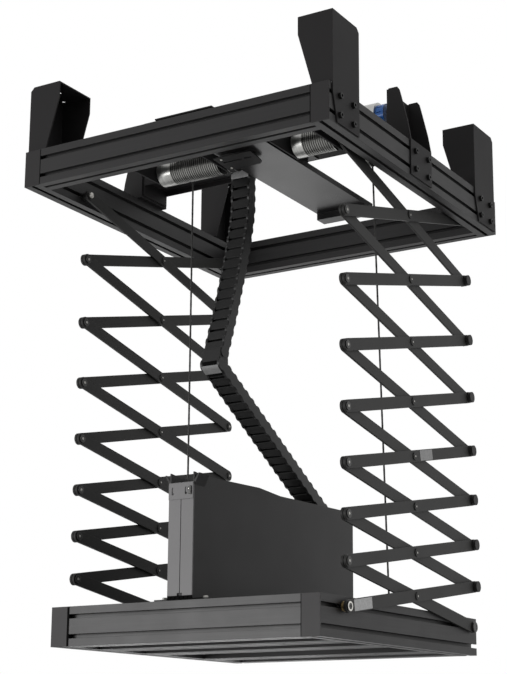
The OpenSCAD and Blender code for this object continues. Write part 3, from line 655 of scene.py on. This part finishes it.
# bolts through the feet of the cable tray
BOLT_X, BOLT_Y, FOOT_Z = 0.048, (-0.310, 0.348), -1.1260
bolts = Parts()
for sign in BOTH:
    for y in BOLT_Y:
        bolts.turned((sign * BOLT_X, y, FOOT_Z), Z_AXIS,
                     [(0, 0.0072, 0), (0.0010, 0.0072, 0), (0.0013, 0.0068, 0),
                      (0.0013, 0.0052, 6), (0.0048, 0.0052, 6), (0.0054, 0.0044, 0)])
bolts.piece("tray_foot_bolts", "rivet", "platform")


def cut_sheet(name, outline, holes, thick, place, material, body):
    # a flat sheet with holes, its corners eased; place turns its x and y into the frame
    ease = 0.0003
    curve = bpy.data.curves.new(name, "CURVE")
    curve.dimensions = "2D"
    curve.fill_mode = "BOTH"
    curve.extrude = thick / 2 - ease
    curve.bevel_depth = ease
    curve.offset = -ease
    for loop in [outline] + holes:
        spline = curve.splines.new("POLY")
        spline.points.add(len(loop) - 1)
        for point, (x, y) in zip(spline.points, loop):
            point.co = (x, y, 0, 1)
        spline.use_cyclic_u = True
    maker = new_object(name + "_curve", curve)
    bpy.context.view_layer.update()
    drawn = maker.evaluated_get(bpy.context.evaluated_depsgraph_get())
    data = bpy.data.meshes.new_from_object(drawn)
    data.name = name
    bpy.data.objects.remove(maker)
    bpy.data.curves.remove(curve)
    data.transform(place)
    data.materials.clear()
    data.materials.append(M[material])
    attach(new_object(name, data), body)


def round_slot(cx, cy, wide, tall):
    r = min(wide, tall) / 2
    return [(cx + x + r * math.cos(angle), cy + y + r * math.sin(angle))
            for x, y, angle in corners(wide, tall, r, 8)]


# head strip across the front plates of the tray, with two keyholes and a small clip
HEAD_Y, HEAD_Z = -0.3308, -0.9150
STAND = Matrix(((1, 0, 0, 0), (0, 0, -1, HEAD_Y), (0, 1, 0, 0), (0, 0, 0, 1)))
cut_sheet("tray_head_strip",
          [(-0.0290, -0.9315), (0.0290, -0.9315), (0.0290, -0.8990), (-0.0290, -0.8990)],
          [round_slot(x, HEAD_Z, 0.0040, 0.0150) for x in (-0.0195, 0.0120)],
          0.0016, STAND, "grey", "platform")
CLIP_Y = -0.3316
clip = Parts()
clip.plate((0.0205, CLIP_Y, HEAD_Z), X_AXIS, Z_AXIS, 0.0080, 0.0150, 0.0012, 0.0015, 0.0004)
clip.plate((0.0240, CLIP_Y, HEAD_Z), X_AXIS, Z_AXIS, 0.0030, 0.0170, 0.0030, 0.0008, 0.0004)
clip.piece("tray_head_clip", "pin", "platform")
clip_stud = Parts()
clip_stud.turned((0.0200, -0.3326, -0.9120), (0, -1, 0),
                 [(0, 0.0017, 0), (0.0008, 0.0016, 0), (0.0012, 0.0010, 0)], 24)
clip_stud.piece("tray_head_stud", "rivet", "platform")

# dark comb and ledge at the foot of the tray's front
TEETH, TOOTH_PITCH, FIRST_TOOTH_X = 6, 0.0100, -0.0235
comb = Parts()
for k in range(TEETH):
    comb.plate((FIRST_TOOTH_X + TOOTH_PITCH * k, -0.3302, -1.1235), X_AXIS, Z_AXIS,
               0.0088, 0.0062, 0.0022, 0.0008, 0.0006)
comb.plate((0.0120, -0.3298, -1.1272), X_AXIS, Z_AXIS, 0.0840, 0.0020, 0.0012, 0.0006, 0.0003)
comb.piece("tray_foot_comb", "gap", "platform")

# slotted plate under the front beam, over the head of the chain
PLATE_Z, PLATE_T, SLOT_Y, SLOT_TALL = -0.2365, 0.0028, -0.3120, 0.0060
LEVEL = Matrix(((1, 0, 0, 0), (0, 1, 0, 0), (0, 0, 1, PLATE_Z), (0, 0, 0, 1)))
cut_sheet("chain_head_plate",
          [(0.0700, -0.3400), (0.1600, -0.3400), (0.1560, -0.3050), (0.1500, -0.2790),
           (0.1430, -0.2720), (0.0640, -0.2680)],
          [round_slot(0.1000, SLOT_Y, 0.0450, SLOT_TALL),
           round_slot(0.1370, SLOT_Y, 0.0180, SLOT_TALL)],
          PLATE_T, LEVEL, "dark", "root")
heads = Parts()
for x, y in ((0.0780, -0.2810), (0.0840, -0.3300)):
    heads.turned((x, y, PLATE_Z - PLATE_T / 2), (0, 0, -1),
                 [(0, 0.0026, 0), (0.0014, 0.0025, 0), (0.0019, 0.0016, 0)], 24)
heads.piece("chain_head_screws", "zinc", "root")

# painted shade: near-black strips where the end caps meet the profiles, standing in for the
# shadow in the gap there
JOINT_TALL, JOINT_THICK, JOINT_CORNER, JOINT_CHAMFER = 0.0790, 0.0005, 0.0004, 0.0002


def cap_shade_strips(name, body, y, z, joints):
    parts = Parts()
    for x, wide in joints:
        parts.plate((x, y, z), X_AXIS, Z_AXIS, wide, JOINT_TALL, JOINT_THICK, JOINT_CORNER,
                    JOINT_CHAMFER)
    parts.piece(name, "gap", body)


cap_shade_strips("top_cap_shade_strips", "root", -0.3998, -0.1950, [(-0.3340, 0.0018), (0.3340, 0.0018)])
cap_shade_strips("plat_cap_shade_strips", "platform", -0.3298, -1.1690,
           [(-0.2712, 0.0056), (0.2732, 0.0014)])

# energy chain: strips at its head and knee, and the knuckle that joins the two runs
CHAIN_R, KNEE_Y, HINGE_Y, TRAY_Y = 0.014, -0.223, -0.114, 0.295
run = math.hypot(TRAY_Y - KNEE_Y, lower_span)
ahead = ((TRAY_Y - KNEE_Y) / run, lower_span / run)
below = (ahead[1], -ahead[0])
down = math.degrees(math.atan2(below[1], below[0])) + 360


def knee_arc(r, start, end, steps=12):
    # points in Y and Z round the knee, between two angles
    angles = [math.radians(start + (end - start) * k / steps) for k in range(steps + 1)]
    return [(KNEE_Y + r * math.cos(a), KNEE_Z + r * math.sin(a)) for a in angles]


def by_lower_run(under, along):
    # a point in Y and Z, by its way along the lower run and below its middle line
    return (KNEE_Y + below[0] * under + ahead[0] * along,
            KNEE_Z + below[1] * under + ahead[1] * along)


def squashed(piece):
    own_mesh(piece)


knuckle = Parts()
knuckle.prism([(KNEE_Y + 0.022, KNEE_Z + 0.030), (KNEE_Y - 0.004, KNEE_Z + 0.034)]
              + knee_arc(CHAIN_R - 0.0012, 165, down)
              + [by_lower_run(0.0128, 0.020), by_lower_run(-0.0128, 0.020)], 0.0215)
squashed(knuckle.piece("chain_knuckle", "chain", "platform"))

# flat liners close the chain between its bars
LINER, LINER_HALF = 0.0009, 0.0192
HANG_Z = HINGE_Z - 0.075
HEAD_END = HINGE_Z + 0.006
liner = Parts()
liner.prism([(HINGE_Y - LINER, HEAD_END), (HINGE_Y + LINER, HEAD_END),
             (HINGE_Y + LINER, HANG_Z), (KNEE_Y + LINER, KNEE_Z), (KNEE_Y - LINER, KNEE_Z),
             (HINGE_Y - LINER, HANG_Z)], LINER_HALF)
squashed(liner.piece("chain_upper_liner", "chain", "root"))
liner = Parts()
liner.prism([by_lower_run(-LINER, 0.010), by_lower_run(-LINER, run - 0.004),
             by_lower_run(LINER, run - 0.004), by_lower_run(LINER, 0.010)], LINER_HALF)
squashed(liner.piece("chain_lower_liner", "chain", "platform"))

# pale strip round the knee, with strips of painted shade above and below it where the chain
# opens
STRIP_OUT, STRIP_IN = CHAIN_R + 0.0008, CHAIN_R - 0.0004
strip = Parts()
strip.prism(knee_arc(STRIP_OUT, 200, down)
            + [by_lower_run(STRIP_OUT, 0.012), by_lower_run(STRIP_IN, 0.012)]
            + knee_arc(STRIP_IN, 200, down)[::-1], 0.0200)
squashed(strip.piece("chain_knee_strip", "strip", "platform"))
# painted shade: near-black strips on the chain where it opens beside the knee
GAP_OUT, GAP_IN, GAP_HALF = CHAIN_R + 0.0001, CHAIN_R - 0.0016, 0.0165
gaps = Parts()
gaps.prism(knee_arc(GAP_OUT, 162, 197) + knee_arc(GAP_IN, 162, 197)[::-1], GAP_HALF)
gaps.prism([by_lower_run(GAP_OUT, 0.0125), by_lower_run(GAP_OUT, 0.0200),
            by_lower_run(GAP_IN, 0.0200), by_lower_run(GAP_IN, 0.0125)], GAP_HALF)
squashed(gaps.piece("chain_knee_painted_shade", "gap", "platform"))
strip = Parts()
strip.plate((0, HINGE_Y - CHAIN_R - 0.0002, -0.1870), X_AXIS, Z_AXIS,
            0.0440, 0.0170, 0.0012, 0.0020, 0.0004)
squashed(strip.piece("chain_head_strip", "label", "root"))

# room: pale floor, white beyond
SOFT_LIGHT = 0.40
WHITE = (1, 1, 1, 1)
FLOOR_GLOW, FLOOR_HALF, FLOOR_Z = 0.50, 9, -2.6


def background_rays(tree):
    # 1 for what the camera, glossy and clear surfaces see, 0 for the light on the object
    path = tree.nodes.new("ShaderNodeLightPath")
    seen = combine(tree, "MAXIMUM", path.outputs["Is Camera Ray"],
                   path.outputs["Is Glossy Ray"])
    return combine(tree, "MAXIMUM", seen, path.outputs["Is Transmission Ray"])


def floor_material():
    material, tree, shader = new_material("floor")
    colour = ramp(tree, noise(tree, 1.5), (0.53, 0.53, 0.53), (0.56, 0.56, 0.56))
    tree.links.new(colour, shader.inputs["Base Color"])
    shader.inputs["Roughness"].default_value = 0.8
    shader.inputs["Emission Color"].default_value = WHITE
    glow = combine(tree, "MULTIPLY", background_rays(tree), FLOOR_GLOW)
    tree.links.new(glow, shader.inputs["Emission Strength"])
    return material


M["floor"] = floor_material()
floor_corners = [(x * FLOOR_HALF, y * FLOOR_HALF, FLOOR_Z)
                 for x, y in ((-1, -1), (1, -1), (1, 1), (-1, 1))]
floor = mesh_piece("floor", floor_corners, [(0, 1, 2, 3)], "floor", None)


def background(tree, strength):
    node = tree.nodes.new("ShaderNodeBackground")
    node.inputs["Color"].default_value = WHITE
    node.inputs["Strength"].default_value = strength
    return node.outputs[0]


world = bpy.data.worlds.new("world")
scene.world = world
world.use_nodes = True
tree = world.node_tree
tree.nodes.clear()
out = tree.nodes.new("ShaderNodeOutputWorld")
choose = tree.nodes.new("ShaderNodeMixShader")
tree.links.new(background_rays(tree), choose.inputs["Fac"])
tree.links.new(background(tree, SOFT_LIGHT), choose.inputs[1])
tree.links.new(background(tree, 1.0), choose.inputs[2])
tree.links.new(choose.outputs[0], out.inputs["Surface"])


def lamp(name, place, target, size, power):
    data = bpy.data.lights.new(name, "AREA")
    data.shape = "SQUARE"
    data.size = size
    data.energy = power
    light = new_object(name, data)
    light.location = place
    light.visible_camera = False
    aim = Vector(target) - Vector(place)
    light.rotation_euler = aim.to_track_quat("-Z", "Y").to_euler()


lamp("front", (-1.5, -2.9, -1.0), (0, -0.3, -1.2), 1.6, 60)
lamp("side", (3.0, 1.6, -0.7), (0.3, 0.2, -0.7), 1.6, 17)
lamp("under", (-1.5, 2.0, -1.45), (0, -0.1, -0.7), 0.9, 4)
